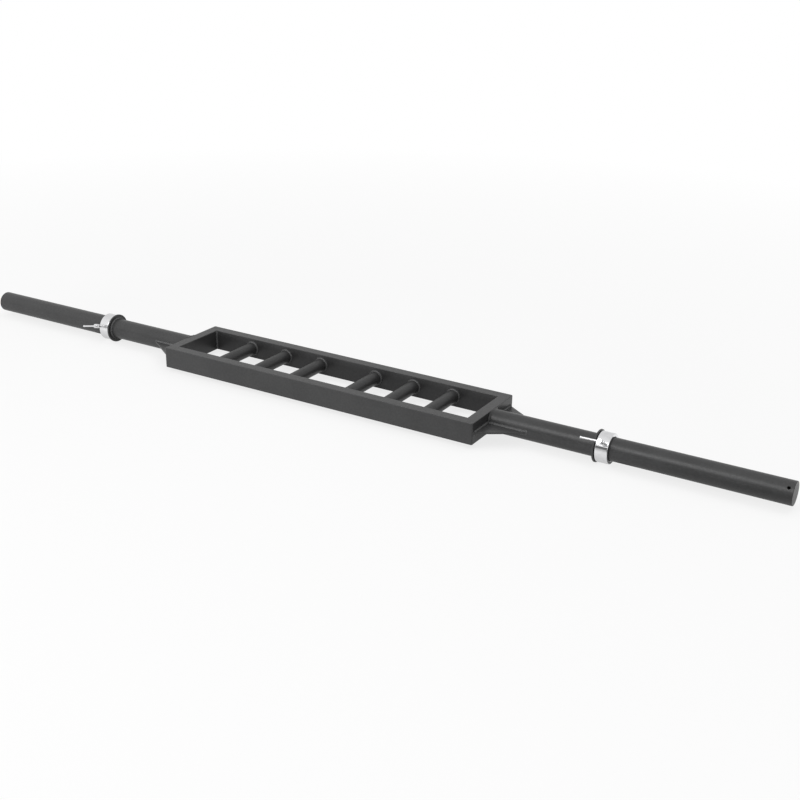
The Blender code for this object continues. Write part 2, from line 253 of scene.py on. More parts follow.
@cache
def lathe_group() -> NodeTree:
    """Fine turned lines round the X axis, with light smudges over them.

    Returns:
        The shader node group.
    """
    sizes = {"Line Width": 0.0004, "Smudge Size": 0.01}
    nodes, given, made = new_group("turned_lines", sizes, ("Lines", "Smudge"))
    place = nodes.add("ShaderNodeTexCoord").outputs["Object"]
    along = nodes.add("ShaderNodeSeparateXYZ", {"Vector": place}).outputs["X"]
    fine = nodes.math("DIVIDE", along, given["Line Width"])
    lines = nodes.add("ShaderNodeTexNoise", {"W": fine, "Scale": 1.0, "Detail": 3.0}, noise_dimensions="1D")
    nodes.feed(made["Lines"], lines.outputs["Fac"])
    nodes.feed(made["Smudge"], nodes.spread(nodes.pattern(given["Smudge Size"], 5.0), 0.4, 0.7))
    return nodes.tree


class Finish:
    """A surface finish that makes its own material."""

    name: str
    slot: Slot

    def material(self) -> Material:
        """The finish's material, made when it is first asked for."""
        return bpy.data.materials.get(self.name) or self.make()

    def make(self) -> Material:
        """Build the material."""
        raise NotImplementedError


def new_material(name: str, **plain: Any) -> tuple[Material, NodeBuilder, Any]:
    """New material with a Principled surface.

    Args:
        name: The material's name.
        plain: Values set directly on the surface, by the socket's name with underscores.

    Returns:
        The material, its node builder and the surface's input sockets.
    """
    material = bpy.data.materials.new(name)
    material.use_nodes = True
    surface = material.node_tree.nodes["Principled BSDF"].inputs
    for key, value in plain.items():
        surface[key.replace("_", " ")].default_value = value
    return material, NodeBuilder(material.node_tree), surface


@dataclass(frozen=True)
class PowderCoat(Finish):
    """Baked satin coat with a fine pebbled grain."""

    name: str  # The material's name
    slot: Slot  # The record's slot
    dark: Colour = (0.034, 0.034, 0.0345)  # Colour in the darker clouds
    light: Colour = (0.048, 0.048, 0.0485)  # Colour in the lighter clouds
    rubbed: Colour = (0.058, 0.058, 0.059)  # Colour of the polished edges
    roughness: float = 0.35  # Roughness of the plain coat
    grain_size: float = 0.0011  # Size of one pebble of the grain
    grain_depth: float = 0.00006  # Depth of the grain
    fleck_size: float = 0.0045  # Size of the mottling
    cloud_rise: float = 0.04  # What the light clouds add to the roughness
    fleck_rise: float = -0.06  # What the light flecks add to it
    rub_rise: float = -0.10  # What rubbing adds to it

    def make(self) -> Material:
        """Build the coat's material.

        Returns:
            The material.
        """
        material, nodes, surface = new_material(self.name, IOR=1.5, Specular_IOR_Level=0.38)
        sizes = {"Grain Size": self.grain_size, "Fleck Size": self.fleck_size}
        grain = nodes.add("ShaderNodeGroup", sizes, node_tree=grain_group()).outputs
        rubbed = nodes.add("ShaderNodeGroup", node_tree=wear_group()).outputs["Rubbed"]
        mottle = nodes.math("MULTIPLY_ADD", grain["Fleck"], 0.5, nodes.times(grain["Cloud"], 0.5))
        coat = nodes.blend(mottle, self.dark, self.light)
        nodes.feed(surface["Base Color"], nodes.blend(rubbed, coat, self.rubbed))
        rough = nodes.math("MULTIPLY_ADD", grain["Cloud"], self.cloud_rise, self.roughness)
        rough = nodes.math("MULTIPLY_ADD", rubbed, self.rub_rise, rough)
        rough = nodes.math("MULTIPLY_ADD", grain["Fleck"], self.fleck_rise, rough)
        nodes.feed(surface["Roughness"], rough)
        bump = nodes.add("ShaderNodeBump", {"Height": grain["Grain"], "Distance": self.grain_depth})
        nodes.feed(surface["Normal"], bump.outputs["Normal"])
        return material


@dataclass(frozen=True)
class TurnedMetal(Finish):
    """Bare or plated metal with fine turned lines and smudges."""

    name: str  # The material's name
    slot: Slot  # The record's slot
    colour: Colour  # Colour of the clean metal
    smudged: Colour  # Colour where it is smudged
    roughness: float  # Roughness of the clean metal
    line_width: float = 0.0005  # Width of one turned line
    line_depth: float = 0.000004  # Depth of the turned lines
    smudge_rise: float = 0.07  # What smudges add to the roughness
    line_rise: float = 0.05  # What the lines add to it

    def make(self) -> Material:
        """Build the metal's material.

        Returns:
            The material.
        """
        material, nodes, surface = new_material(self.name, Metallic=1.0)
        sizes = {"Line Width": self.line_width}
        turned = nodes.add("ShaderNodeGroup", sizes, node_tree=lathe_group()).outputs
        nodes.feed(surface["Base Color"], nodes.blend(turned["Smudge"], self.colour, self.smudged))
        rough = nodes.math("MULTIPLY_ADD", turned["Smudge"], self.smudge_rise, self.roughness)
        rough = nodes.math("MULTIPLY_ADD", turned["Lines"], self.line_rise, rough)
        nodes.feed(surface["Roughness"], rough)
        bump = nodes.add("ShaderNodeBump", {"Height": turned["Lines"], "Distance": self.line_depth})
        nodes.feed(surface["Normal"], bump.outputs["Normal"])
        return material


BLACK_COAT = PowderCoat("black_powder_coat", Slot.COAT)
GRIP_COAT = PowderCoat("grip_powder_coat", Slot.COAT, (0.029, 0.029, 0.0295), (0.041, 0.041, 0.0415),
                       (0.050, 0.050, 0.051), roughness=0.43, grain_size=0.0013)
# Coat of the ripple welds: the same black coat but glossier, with a lighter colour that is a painted
# highlight on the beads
WELD_HIGHLIGHT_COAT = PowderCoat("weld_powder_coat", Slot.COAT, (0.062, 0.062, 0.063), (0.082, 0.082, 0.083),
                       (0.095, 0.095, 0.096), roughness=0.26, grain_size=0.0016)
# Coat of the end plugs: the plugs' own lighter coat, made lighter still as painted light from the right on
# their end faces
PLUG_COAT_WITH_PAINTED_LIGHT = PowderCoat("end_plug_coat", Slot.PLUG, (0.090, 0.090, 0.091), (0.115, 0.115, 0.116),
                       roughness=0.40, grain_size=0.0009)
CHROME = TurnedMetal("polished_chrome", Slot.CHROME, (0.86, 0.86, 0.87), (0.78, 0.78, 0.79), 0.045)
BRASS = TurnedMetal("turned_brass", Slot.BRASS, (0.70, 0.52, 0.25), (0.50, 0.36, 0.17), 0.25)


def arc(along: float, across: float, radius: float, start: float, end: float, steps: int = 8) -> Profile:
    """Points of an arc.

    Args:
        along: Centre along the first axis.
        across: Centre along the second axis.
        radius: The arc's radius.
        start: First angle in degrees.
        end: Last angle in degrees.
        steps: Number of straight steps.

    Returns:
        The points from the first angle to the last.
    """
    angles = [math.radians(start + (end - start) * step / steps) for step in range(steps + 1)]
    return [(along + radius * math.cos(angle), across + radius * math.sin(angle)) for angle in angles]


def with_margins(profile: Profile, closed: bool) -> Profile:
    """Add a point close to both ends of each long straight stretch of a profile.

    Args:
        profile: The profile's points.
        closed: Whether the last point joins the first.

    Returns:
        The longer profile.
    """
    points = []
    for index, (along, across) in enumerate(profile):
        points.append((along, across))
        if index == len(profile) - 1 and not closed:
            break
        next_along, next_across = profile[(index + 1) % len(profile)]
        length = math.hypot(next_along - along, next_across - across)
        if length > 4 * EDGE_MARGIN:
            for share in (EDGE_MARGIN / length, 1 - EDGE_MARGIN / length):
                points.append((along + share * (next_along - along), across + share * (next_across - across)))
    return points


def mark_rims(bm: BMesh) -> None:
    """Store how tightly the surface bends outwards at each vertex, as the attribute "rim".

    Args:
        bm: The closed mesh.
    """
    rim = bm.verts.layers.float.new("rim")
    tight, broad = 1 / TIGHT_BEND, 1 / BROAD_BEND
    for vertex in bm.verts:
        bend = 0.0
        for edge in vertex.link_edges:
            if edge.is_manifold:
                area = sum(face.calc_area() for face in edge.link_faces)
                width = max(area / (2 * max(edge.calc_length(), 1e-6)), LEAST_WIDTH)
                bend = max(bend, edge.calc_face_angle_signed(0.0) / width)
        vertex[rim] = min(max((bend - broad) / (tight - broad), 0.0), 1.0)


def plain_mesh(name: str, bm: BMesh) -> Mesh:
    """Turn a bmesh into a mesh and free it.

    Args:
        name: The mesh's name.
        bm: The bmesh.

    Returns:
        The mesh.
    """
    mesh = bpy.data.meshes.new(name)
    bm.to_mesh(mesh)
    bm.free()
    return mesh


def finish_mesh(name: str, bm: BMesh) -> Mesh:
    """Turn a bmesh into a closed mesh with outward faces, smooth sides and marked rims.

    Args:
        name: The mesh's name.
        bm: The bmesh, which is freed.

    Returns:
        The mesh.
    """
    bmesh.ops.remove_doubles(bm, verts=bm.verts, dist=MERGE_DISTANCE)
    bmesh.ops.recalc_face_normals(bm, faces=bm.faces)
    mark_rims(bm)
    mesh = plain_mesh(name, bm)
    mesh.shade_smooth()
    mesh.set_sharp_from_angle(angle=CRISP_ANGLE)
    return mesh


def skin(bm: BMesh, rings: Sequence[Sequence[BMVert]], looped: bool) -> None:
    """Join closed rings of vertices with faces, and close both ends where they don't form a loop.

    Args:
        bm: The mesh that holds the rings.
        rings: Rings with the same number of vertices.
        looped: Whether the last ring joins the first.
    """
    pairs = list(zip(rings, rings[1:]))
    if looped:
        pairs.append((rings[-1], rings[0]))
    for ring, following in pairs:
        for index in range(len(ring)):
            bm.faces.new((ring[index - 1], ring[index], following[index], following[index - 1]))
    if not looped:
        bm.faces.new(rings[0])
        bm.faces.new(rings[-1])


def revolve(name: str, profile: Profile, steps: int, closed: bool = False) -> Mesh:
    """Turn a profile of (along, radius) points round the X axis.

    Args:
        name: The mesh's name.
        profile: The points. An open profile starts and ends on the axis.
        steps: Number of steps round the axis.
        closed: Whether the profile is a closed loop.

    Returns:
        The closed mesh.
    """
    bm = bmesh.new()
    points = [bm.verts.new((along, 0.0, radius)) for along, radius in with_margins(profile, closed)]
    edges = [bm.edges.new(pair) for pair in zip(points, points[1:])]
    if closed:
        edges.append(bm.edges.new((points[-1], points[0])))
    bmesh.ops.spin(bm, geom=points + edges, cent=(0, 0, 0), axis=(1, 0, 0),
                   angle=2 * math.pi, steps=steps, use_merge=True, use_duplicate=False)
    return finish_mesh(name, bm)


def rod(name: str, start: float, end: float, radius: float, steps: int) -> Mesh:
    """A plain round rod along X, by its ends, its radius and the steps round it."""
    return revolve(name, [(start, 0.0), (start, radius), (end, radius), (end, 0.0)], steps)


def drill_bit(start: float, surface: float, radius: float, cone: tuple[float, float], steps: int) -> Mesh:
    """A drill along X that chamfers the mouth of its hole.

    Args:
        start: Where the hole starts, inside the material.
        surface: Where the surface is.
        radius: The hole's radius.
        cone: How far the chamfer's cone reaches below the surface and above it.
        steps: Number of steps round the hole.

    Returns:
        The closed mesh.
    """
    top = surface + cone[1]
    return revolve("drill_bit", [(start, 0.0), (start, radius), (surface - cone[0], radius),
                                 (top, radius + sum(cone)), (top, 0.0)], steps)


def shift(x: float = 0.0, y: float = 0.0, z: float = 0.0) -> Matrix:
    """Matrix of a plain move."""
    return Matrix.Translation((x, y, z))


def turn(angle: float, axis: str = "Z") -> Matrix:
    """Matrix of a turn round one axis, by an angle in radians."""
    return Matrix.Rotation(angle, 4, axis)


def placed(mesh: Mesh, matrix: Matrix) -> Mesh:
    """A copy of a mesh, moved by a matrix.

    Args:
        mesh: The mesh to copy.
        matrix: Its place.

    Returns:
        The moved copy.
    """
    copy = mesh.copy()
    copy.transform(matrix)
    return copy


def new_object(name: str, data: bpy.types.ID) -> Object:
    """Add an object to the scene, at the origin.

    Args:
        name: The object's name.
        data: Its mesh, lamp or camera.

    Returns:
        The object.
    """
    item = bpy.data.objects.new(name, data)
    bpy.context.scene.collection.objects.link(item)
    return item


def modified(mesh: Mesh, kind: str, settings: dict[str, Any], sizes: dict[str, Any] | None = None) -> Mesh:
    """Plain mesh that one modifier makes of another mesh.

    Args:
        mesh: The mesh that goes in.
        kind: The modifier's type.
        settings: The modifier's settings.
        sizes: Values of the inputs of its Geometry Nodes tree, by name.

    Returns:
        The mesh that comes out.
    """
    work = new_object("work", mesh)
    modifier = work.modifiers.new("work", kind)
    for key, value in settings.items():
        setattr(modifier, key, value)
    for item in modifier.node_group.interface.items_tree if sizes else ():
        if item.item_type == "SOCKET" and item.in_out == "INPUT" and item.name in sizes:
            modifier[item.identifier] = sizes[item.name]
    bpy.context.view_layer.update()
    graph = bpy.context.evaluated_depsgraph_get()
    result = bpy.data.meshes.new_from_object(work.evaluated_get(graph), depsgraph=graph)
    bpy.data.objects.remove(work)
    return result


def drilled(mesh: Mesh, bit: Mesh) -> Mesh:
    """Cut a drill's shape out of a mesh.

    Args:
        mesh: The mesh to drill.
        bit: The drill's mesh, in its place.

    Returns:
        The plain resulting mesh.
    """
    cutter = new_object("cutter", bit)
    result = modified(mesh, "BOOLEAN", {"operation": "DIFFERENCE", "object": cutter})
    bpy.data.objects.remove(cutter)
    result.set_sharp_from_angle(angle=CRISP_ANGLE)
    return result


def add_piece(node: str, form: str, mesh: Mesh, finish: Finish, body: str = "frame",
              stands_for: bool = True) -> Object:
    """Add a finished piece at the origin, on its body.

    Args:
        node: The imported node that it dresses.
        form: What it is, the last part of its name.
        mesh: Its mesh, in its place.
        finish: Its finish.
        body: The body that it moves with.
        stands_for: Whether it replaces the node.

    Returns:
        The piece.
    """
    mesh.materials.clear()
    mesh.materials.append(finish.material())
    piece = new_object(f"{node}_{form}", mesh)
    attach(piece, body)
    if stands_for:
        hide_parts(node)
    return piece


@dataclass(frozen=True)
class WeldStation:
    """One section of a fillet weld along its root."""

    root: Vector  # The corner that the weld fills
    first: Vector  # From the root to the weld's toe on the first surface
    second: Vector  # From the root to its toe on the second surface

    def scaled(self, share: float) -> "WeldStation":
        """The same section at another size."""
        return WeldStation(self.root, self.first * share, self.second * share)

    def mirrored(self) -> "WeldStation":
        """The same section on the other face of a plate at Z = 0."""
        return WeldStation(*(arm * Vector((1.0, 1.0, -1.0)) for arm in (self.root, self.first, self.second)))


@cache
def weld_tree() -> NodeTree:
    """Geometry Nodes tree that gives a smooth weld its ripples and uneven toes.

    Returns:
        The tree.
    """
    sizes = {"Geometry": "NodeSocketGeometry", "Pitch": 0.002, "Ripple": 0.1, "Wander": 0.1, "Bow": 0.6,
             "Seed": 0.0, "Material": "NodeSocketMaterial"}
    nodes, given, made = new_group("weld_ripples", sizes, ("Geometry",), "GeometryNodeTree")
    place = nodes.add("GeometryNodeInputPosition").outputs[0]
    wobble_scale, wobble_reach, wander_scale, wander_middle = 140.0, 1.6, 260.0, 0.62

    def uneven(scale: float, detail: float) -> NodeSocket:
        """Noise along the weld, by its scale and octaves."""
        inputs = {"Vector": place, "W": given["Seed"], "Scale": scale, "Detail": detail}
        return nodes.add("ShaderNodeTexNoise", inputs, noise_dimensions="4D").outputs[0]

    across, along, reach = (
        nodes.add("GeometryNodeInputNamedAttribute", {"Name": name}, data_type=kind).outputs[0]
        for name, kind in (("across", "FLOAT"), ("along", "FLOAT"), ("reach", "FLOAT_VECTOR")))
    step = nodes.math("DIVIDE", along, given["Pitch"])
    bowed = nodes.math("SUBTRACT", step, nodes.times(across, across, given["Bow"]))
    phase = nodes.math("ADD", bowed, nodes.times(uneven(wobble_scale, 2.0), wobble_reach))
    wave = nodes.math("ABSOLUTE", nodes.math("SINE", nodes.times(phase, math.pi)))
    ripple = nodes.times(nodes.math("SUBTRACT", wave, 1.0), given["Ripple"])
    wander = nodes.times(nodes.math("SUBTRACT", uneven(wander_scale, 3.0), wander_middle), given["Wander"])
    offset = nodes.add("ShaderNodeVectorMath", {0: reach, "Scale": nodes.math("ADD", ripple, wander)},
                       operation="SCALE").outputs[0]
    moved = nodes.add("GeometryNodeSetPosition", {"Geometry": given["Geometry"], "Offset": offset})
    smooth = nodes.add("GeometryNodeSetShadeSmooth", {"Geometry": moved.outputs[0], "Shade Smooth": True})
    real = nodes.add("GeometryNodeRealizeInstances", {"Geometry": smooth.outputs[0]}).outputs[0]
    named = nodes.add("GeometryNodeSetMaterial", {"Geometry": real, "Material": given["Material"]})
    nodes.feed(made["Geometry"], named.outputs[0])
    return nodes.tree


@dataclass(frozen=True)
class WeldBead:
    """A fillet weld along a path, with ripples."""

    pitch: float  # Distance between ripples
    ripple: float  # Depth of the ripples, as a share of the weld's size
    wander: float = 0.30  # Unevenness of the weld's size, as a share of it
    crown: float = 0.10  # How far the weld's face bulges, as a share of its size
    face_steps: int = 8  # Number of steps across the face
    ripple_steps: int = 6  # Number of sections for each ripple
    least_steps: int = 8  # Least number of sections

    def mesh(self, stations: Sequence[WeldStation], looped: bool, seed: float) -> Mesh:
        """Mesh of the weld along its stations.

        Args:
            stations: The weld's sections in order.
            looped: Whether the last section joins the first.
            seed: Choice of the unevenness.

        Returns:
            The weld's mesh.
        """
        bm = bmesh.new()
        along_layer = bm.verts.layers.float.new("along")
        across_layer = bm.verts.layers.float.new("across")
        reach_layer = bm.verts.layers.float_vector.new("reach")
        rings, travelled, before = [], 0.0, None
        for station in stations:
            middle = station.root + (station.first + station.second) / 2
            if before is not None:
                travelled += (middle - before).length
            before = middle
            ring = [bm.verts.new(station.root)]
            ring[0][across_layer] = 1.0
            for step in range(self.face_steps + 1):
                turned = step / self.face_steps
                bulge = 1 + self.crown * math.sin(math.pi * turned)
                reach = (station.first * (1 - turned) + station.second * turned) * bulge
                vertex = bm.verts.new(station.root + reach)
                vertex[reach_layer] = reach
                vertex[across_layer] = 2 * turned - 1
                ring.append(vertex)
            for vertex in ring:
                vertex[along_layer] = travelled
            rings.append(ring)
        skin(bm, rings, looped)
        bmesh.ops.recalc_face_normals(bm, faces=bm.faces)
        pitch = travelled / round(travelled / self.pitch) if looped else self.pitch
        # The weld coat's lighter colour is a painted highlight on the beads
        sizes = {"Pitch": pitch, "Ripple": self.ripple, "Wander": self.wander, "Seed": seed,
                 "Material": WELD_HIGHLIGHT_COAT.material()}
        return modified(plain_mesh("bead", bm), "NODES", {"node_group": weld_tree()}, sizes)

    def count(self, length: float) -> int:
        """Number of sections that a length of weld needs for its ripples."""
        return max(self.least_steps, round(length / self.pitch * self.ripple_steps))

    def round_tube(self, radius: float, leg: float, seed: float, level: float = math.inf) -> Mesh:
        """Mesh of the weld round a tube along X, standing on a face at X = 0.

        Args:
            radius: The tube's radius.
            leg: The weld's size.
            seed: Choice of the unevenness.
            level: Height above and below the axis that the weld is ground down to.

        Returns:
            The weld's mesh.
        """
        stations = []
        count = self.count(2 * math.pi * radius)
        for index in range(count):
            angle = 2 * math.pi * index / count
            outward = Vector((0.0, math.cos(angle), math.sin(angle)))
            rise = min(leg, level / abs(outward.z) - radius) if outward.z else leg
            stations.append(WeldStation(outward * radius, X_AXIS * leg, outward * rise))
        return self.mesh(stations, True, seed)


@dataclass(frozen=True)
class FrameTubes:
    """The mitred rails and end members, their corner welds and the cross handles."""

    width: float = 0.025  # Depth of a frame tube, seen from above
    corner_radius: float = 0.0016  # Radius of its outer corners
    mitre_radius: float = 0.0036  # Radius that the upright outer seams are ground to
    mitre_steps: int = 6  # Steps of that rounding
    corner_leg: float = 0.0042  # Size of the upright weld in each inner corner
    corner_end: float = 0.45  # What its ends start with, as a share of that size
    corner_taper: float = 0.004  # Run over which it would grow from nothing to that size
    corner_seed: float = 3.0  # Choice of its ripples
    handle_radius: float = 0.015  # Radius of the cross handles
    handle_leg: float = 0.0040  # Size of the weld round each end of a handle
    handle_seed: float = 10.0  # Choice of its ripples

    @property
    def halves(self) -> tuple[float, float, float]:
        """Half the frame's length, width and height."""
        low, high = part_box("front_rail")
        return high.x, -low.y, (high.z - low.z) / 2

    @property
    def height(self) -> float:
        """Height of the frame's middle."""
        low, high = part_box("front_rail")
        return (low.z + high.z) / 2

    def build(self) -> list[Object]:
        """Build every piece of the welded frame between the sleeves.

        Returns:
            The pieces.
        """
        half_length, half_width, _ = self.halves
        pieces = []
        for quarter, name in enumerate(("front_rail", "right_end_member", "back_rail", "left_end_member")):
            half, reach = (half_width, half_length) if quarter % 2 else (half_length, half_width)
            place = shift(z=self.height) @ turn(math.radians(90 * quarter)) @ shift(y=-reach)
            pieces.append(add_piece(name, "tube", placed(self.tube_mesh(half), place), BLACK_COAT))
        return pieces + self.corner_welds() + self.handles()

    def tube_mesh(self, half_length: float) -> Mesh:
        """A tube along X with its outer side at Y = 0 and both ends mitred inwards.

        Args:
            half_length: Half the tube's outer length.

        Returns:
            The mesh.
        """
        radius = self.corner_radius
        far, high = self.width - radius, self.halves[2] - radius
        section: Profile = []
        corners = ((far, high), (radius, high), (radius, -high), (far, -high))
        for quarter, (depth, height) in enumerate(corners):
            section += arc(depth, height, radius, 90 * quarter, 90 * quarter + 90)
        section = with_margins(section, True)
        bm = bmesh.new()
        insets = [self.mitre_radius * step / self.mitre_steps for step in range(self.mitre_steps + 1)]
        insets.append(self.mitre_radius + EDGE_MARGIN)
        rings = []
        for end, inset in [(-1, inset) for inset in insets] + [(1, inset) for inset in reversed(insets)]:
            ring = []
            for depth, height in section:
                along, across = self.rounded_corner(inset + depth, depth)
                ring.append(bm.verts.new((end * (half_length - along), across, height)))
            rings.append(ring)
        skin(bm, rings, False)
        return finish_mesh("frame_tube", bm)

    def rounded_corner(self, along: float, across: float) -> tuple[float, float]:
        """Place of a point beside an outer mitred corner, once the corner is ground round.

        Args:
            along: The point's distance from the corner along the tube.
            across: Its distance from the tube's outer side.

        Returns:
            Both distances after rounding.
        """
        radius = self.mitre_radius
        if along >= radius or across >= radius:
            return along, across
        inner_along, inner_across = radius - along, radius - across
        scale = max(inner_along, inner_across) / math.hypot(inner_along, inner_across)
        return radius - inner_along * scale, radius - inner_across * scale

    def corner_welds(self) -> list[Object]:
        """The upright weld in each inner corner of the frame.

        Returns:
            The pieces.
        """
        bead = WeldBead(pitch=0.0036, ripple=0.22, wander=0.60, crown=0.30)
        half, height = self.halves[2] - self.corner_radius, self.height
        x, y = self.halves[0] - self.width, self.halves[1] - self.width
        count = bead.count(2 * half)
        pieces = []
        corners = (("front_left", -1, -1), ("front_right", 1, -1), ("back_right", 1, 1), ("back_left", -1, 1))
        for seed, (corner, along, across) in enumerate(corners):
            stations = []
            for index in range(count + 1):
                rise = half * (2 * index / count - 1)
                root = Vector((along * x, across * y, height + rise))
                station = WeldStation(root, X_AXIS * (-along * self.corner_leg),
                                      Y_AXIS * (-across * self.corner_leg))
                taper = min(1.0, self.corner_end + (half - abs(rise)) / self.corner_taper)
                stations.append(station.scaled(taper))
            mesh = bead.mesh(stations, False, self.corner_seed + seed)
            pieces.append(add_piece(f"{corner}_corner_weld", "bead", mesh, WELD_HIGHLIGHT_COAT))
        return pieces

    def handles(self) -> list[Object]:
        """The cross handles with the weld round both ends of each.

        Returns:
            The pieces.
        """
        half_span = self.halves[1] - self.width
        bar = rod("handle_bar", -half_span, half_span, self.handle_radius, steps=96)
        bead = WeldBead(pitch=0.0030, ripple=0.14, crown=0.32)
        pieces = []
        names = sorted(name for name in frame["nodes"] if name.removeprefix("handle_").isdigit())
        for number, name in enumerate(names):
            low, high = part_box(name)
            centre = shift((low.x + high.x) / 2, z=self.height)
            pieces.append(add_piece(name, "grip", placed(bar, centre @ turn(math.pi / 2)), GRIP_COAT))
            for face, way in (("front", 1), ("back", -1)):
                seed = self.handle_seed + 2 * number + way
                ring = bead.round_tube(self.handle_radius, self.handle_leg, seed)
                place = centre @ turn(way * math.pi / 2) @ shift(-half_span) @ turn(number + way, "X")
                pieces.append(add_piece(f"{name}_{face}_weld", "bead", placed(ring, place), WELD_HIGHLIGHT_COAT))
        return pieces


@dataclass(frozen=True)
class EndPart:
    """What one end of the barbell carries round its sleeve's axis."""

    side: Side  # The end of the barbell that it is on

    @property
    def label(self) -> str:
        """The side's name in the names of nodes."""
        return self.side.name.lower()

    @property
    def radius(self) -> float:
        """Outer radius of the sleeve."""
        low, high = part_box(f"{self.label}_sleeve")
        return (high.y - low.y) / 2

    @property
    def height(self) -> float:
        """Height of the sleeve's axis."""
        low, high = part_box(f"{self.label}_sleeve")
        return (low.z + high.z) / 2

    def span(self, part: str) -> tuple[float, float]:
        """Distances of a node's near and far end from the barbell's middle."""
        return tuple(sorted(abs(corner.x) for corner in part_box(f"{self.label}_{part}")))

    def place(self, distance: float) -> Matrix:
        """Place on the axis with X outwards, at a distance from the barbell's middle."""
        heading = turn(0.0 if self.side is Side.RIGHT else math.pi)
        return shift(z=self.height) @ heading @ shift(distance)


@dataclass(frozen=True)
class Sleeve(EndPart):
    """One loading sleeve with its foot weld, its end plug and its plate stop."""

    wall: float = 0.0045  # Wall of the tube
    edge: float = 0.001  # Rounding of the tube's outer end
    weld_leg: float = 0.004  # Size of the weld round its foot
    weld_crown: float = 0.0006  # How far that weld stands above the frame's top
    weld_seed: float = 31.0  # Choice of its ripples
    plug_gap: float = 0.00012  # Gap round the end plug
    plug_edge: float = 0.0004  # Rounding of its rim
    stop_thickness: float = 0.004  # Thickness of the stop ring
    stop_edge: float = 0.001  # Rounding of the stop's rim
    stop_weld_leg: float = 0.004  # Size of the weld behind the stop
    stop_seed: float = 41.0  # Choice of its ripples
    tie_hole_radius: float = 0.00325  # Radius of the cross hole near the end of the right sleeve
    # Reach of the chamfer at its mouth, below the surface and above it
    tie_hole_cone: tuple[float, float] = (0.0007, 0.0007)
    tie_hole_from_end: float = 0.0105  # Distance of that hole from the end
    tie_hole_angle: float = math.radians(44)  # Its lean up from the front
    steps: int = 128  # Number of steps round the axis

    def build(self) -> list[Object]:
        """Build the sleeve and what is fixed to it.

        Returns:
            The pieces.
        """
        foot, end = self.span("sleeve")
        tube = placed(self.tube_mesh(end - foot), self.place(foot))
        bead = WeldBead(pitch=0.0026, ripple=0.06, wander=0.2, crown=-0.16)
        level = max(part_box("front_rail")[1].z - self.height, self.radius) + self.weld_crown
        weld = bead.round_tube(self.radius, self.weld_leg, self.weld_seed + self.side.value, level)
        return [add_piece(f"{self.label}_sleeve", "tube", tube, BLACK_COAT),
                add_piece(f"{self.label}_sleeve_weld", "bead", placed(weld, self.place(foot)), BLACK_COAT),
                self.plug(end), *self.stop()]

    def tube_mesh(self, length: float) -> Mesh:
        """The tube along X, from the frame to the end, with the cross hole on the right.

        Args:
            length: The tube's length.

        Returns:
            The mesh.
        """
        radius, bore = self.radius, self.radius - self.wall
        profile = [(0.0, radius), *arc(length - self.edge, radius - self.edge, self.edge, 90, 0),
                   (length, bore), (0.0, bore)]
        tube = revolve("sleeve_tube", profile, self.steps, closed=True)
        if self.side is Side.LEFT:
            return tube
        bit = drill_bit(bore - self.wall, radius, self.tie_hole_radius, self.tie_hole_cone, steps=40)
        lean = turn(math.pi / 2 - self.tie_hole_angle, "X") @ turn(-math.pi / 2, "Y")
        return drilled(tube, placed(bit, shift(length - self.tie_hole_from_end) @ lean))

    def plug(self, end: float) -> Object:
        """The disc that closes the sleeve's end.

        Args:
            end: Distance of the end face from the barbell's middle.

        Returns:
            The piece.
        """
        near, far = self.span("end_plug")
        rim, edge = self.radius - self.wall - self.plug_gap, self.plug_edge
        profile = [(near - far, 0.0), (near - far, rim), *arc(-edge, rim - edge, edge, 90, 0), (0.0, 0.0)]
        mesh = placed(revolve("end_disc", profile, self.steps), self.place(end))
        # The plug's coat carries painted light from the right
        return add_piece(f"{self.label}_end_plug", "disc", mesh, PLUG_COAT_WITH_PAINTED_LIGHT)

    def stop(self) -> list[Object]:
        """The ring that stops the plates, and the weld behind it.

        Returns:
            The pieces.
        """
        node = f"{self.label}_stop"
        low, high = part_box(node)
        face, edge, thick = self.span("stop")[1], self.stop_edge, self.stop_thickness
        crown = (high.y - low.y) / 2 - edge
        profile = [(0.0, self.radius), *arc(-edge, crown, edge, 0, 90),
                   *arc(edge - thick, crown, edge, 90, 180), (-thick, self.radius)]
        ring = placed(revolve("stop_ring", profile, self.steps, closed=True), self.place(face))
        bead = WeldBead(pitch=0.0040, ripple=0.18, wander=0.75, crown=0.30)
        weld = bead.round_tube(self.radius, self.stop_weld_leg, self.stop_seed + self.side.value)
        weld = placed(weld, self.place(face - thick) @ turn(math.pi))
        return [add_piece(node, "ring", ring, BLACK_COAT),
                add_piece(node, "bead", weld, WELD_HIGHLIGHT_COAT, stands_for=False)]


